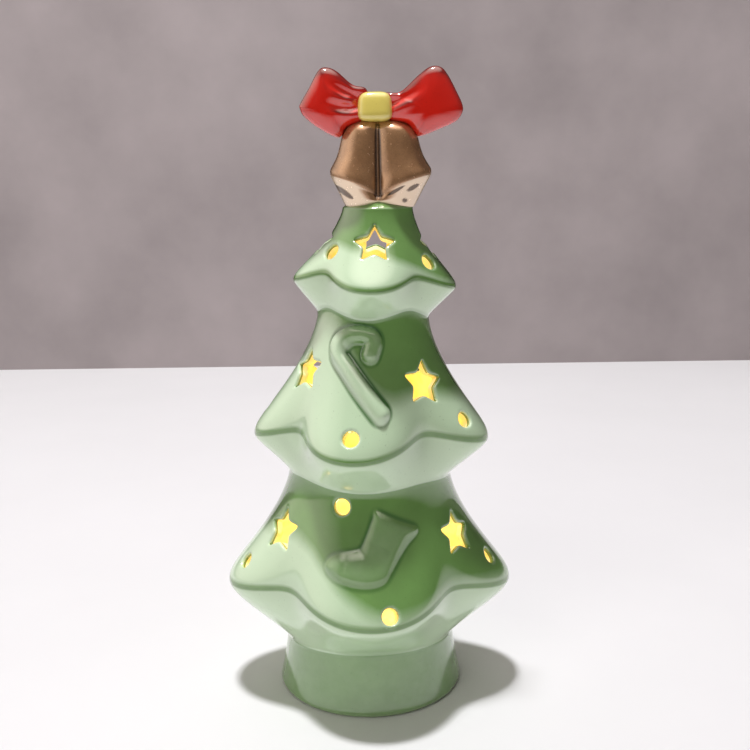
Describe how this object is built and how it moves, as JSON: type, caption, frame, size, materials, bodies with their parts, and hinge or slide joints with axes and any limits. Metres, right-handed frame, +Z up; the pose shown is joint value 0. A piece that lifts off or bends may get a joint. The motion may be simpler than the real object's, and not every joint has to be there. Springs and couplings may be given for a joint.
{
  "type": "ceramic christmas tree light",
  "caption": "Hollow glazed ceramic christmas tree with lobed tiers, star and dot cut-outs, gold bells and a red bow, lit by a battery light that plugs into its foot.",
  "frame": {"origin": "middle of the foot, on the surface that the tree stands on", "axes": "+Z up the tree, -Y to the front with the cane and stocking reliefs, +X to the viewer's right"},
  "size_m": [0.0939, 0.0864, 0.2006],
  "materials": {
    "green_glaze": "glossy glaze",
    "gold_lustre": "gold lustre",
    "red_glaze": "glossy glaze",
    "yellow_glaze": "glossy glaze",
    "white_plastic": "satin",
    "screw_steel": "bright",
    "clear_rubber": "matt",
    "milky_plastic": "milky",
    "board_green": "satin",
    "black_plastic": "satin",
    "contact_metal": "nickel plated",
    "cell_steel": "bright",
    "lead_red": "smooth",
    "led_lens": "clear"
  },
  "bodies": {
    "tree": {"tree_body": "green_glaze", "candy_cane_relief": "green_glaze", "stocking_relief": "green_glaze", "left_bell": "gold_lustre", "right_bell": "gold_lustre", "bow_left_loop": "red_glaze", "bow_right_loop": "red_glaze", "bow_knot": "yellow_glaze"},
    "light_unit": {"light_housing": "white_plastic", "housing_cap": "white_plastic", "cap_screws": "screw_steel", "grip_ring": "clear_rubber", "diffuser_dome": "milky_plastic", "led_board": "board_green", "led_1": "led_lens", "led_2": "led_lens", "led_3": "led_lens", "resistor": "black_plastic", "contact_plate": "contact_metal", "contact_spring": "contact_metal", "button_cell_1": "cell_steel", "button_cell_2": "cell_steel", "button_cell_3": "cell_steel", "switch_body": "black_plastic", "switch_leads": "lead_red"},
    "switch": {"switch_slider": "black_plastic"},
    "door": {"battery_door": "white_plastic"},
    "screw": {"door_screw": "screw_steel"}
  },
  "joints": [
    {"name": "light_pull", "type": "slide", "parent": "tree", "child": "light_unit", "axis": [0, 0, -1], "range_m": [0, 0.045]},
    {"name": "switch_slide", "type": "slide", "parent": "light_unit", "child": "switch", "axis": [1, 0, 0], "range_m": [0, 0.0024]},
    {"name": "door_swing", "type": "hinge", "parent": "light_unit", "child": "door", "pos_m": [-0.0135, -0.004, 0.0017], "axis": [0, 1, 0], "range_deg": [0, 90]},
    {"name": "screw_turn", "type": "hinge", "parent": "door", "child": "screw", "pos_m": [0.0124, -0.004, 0.0017], "axis": [0, 0, 1], "continuous": true}
  ]
}
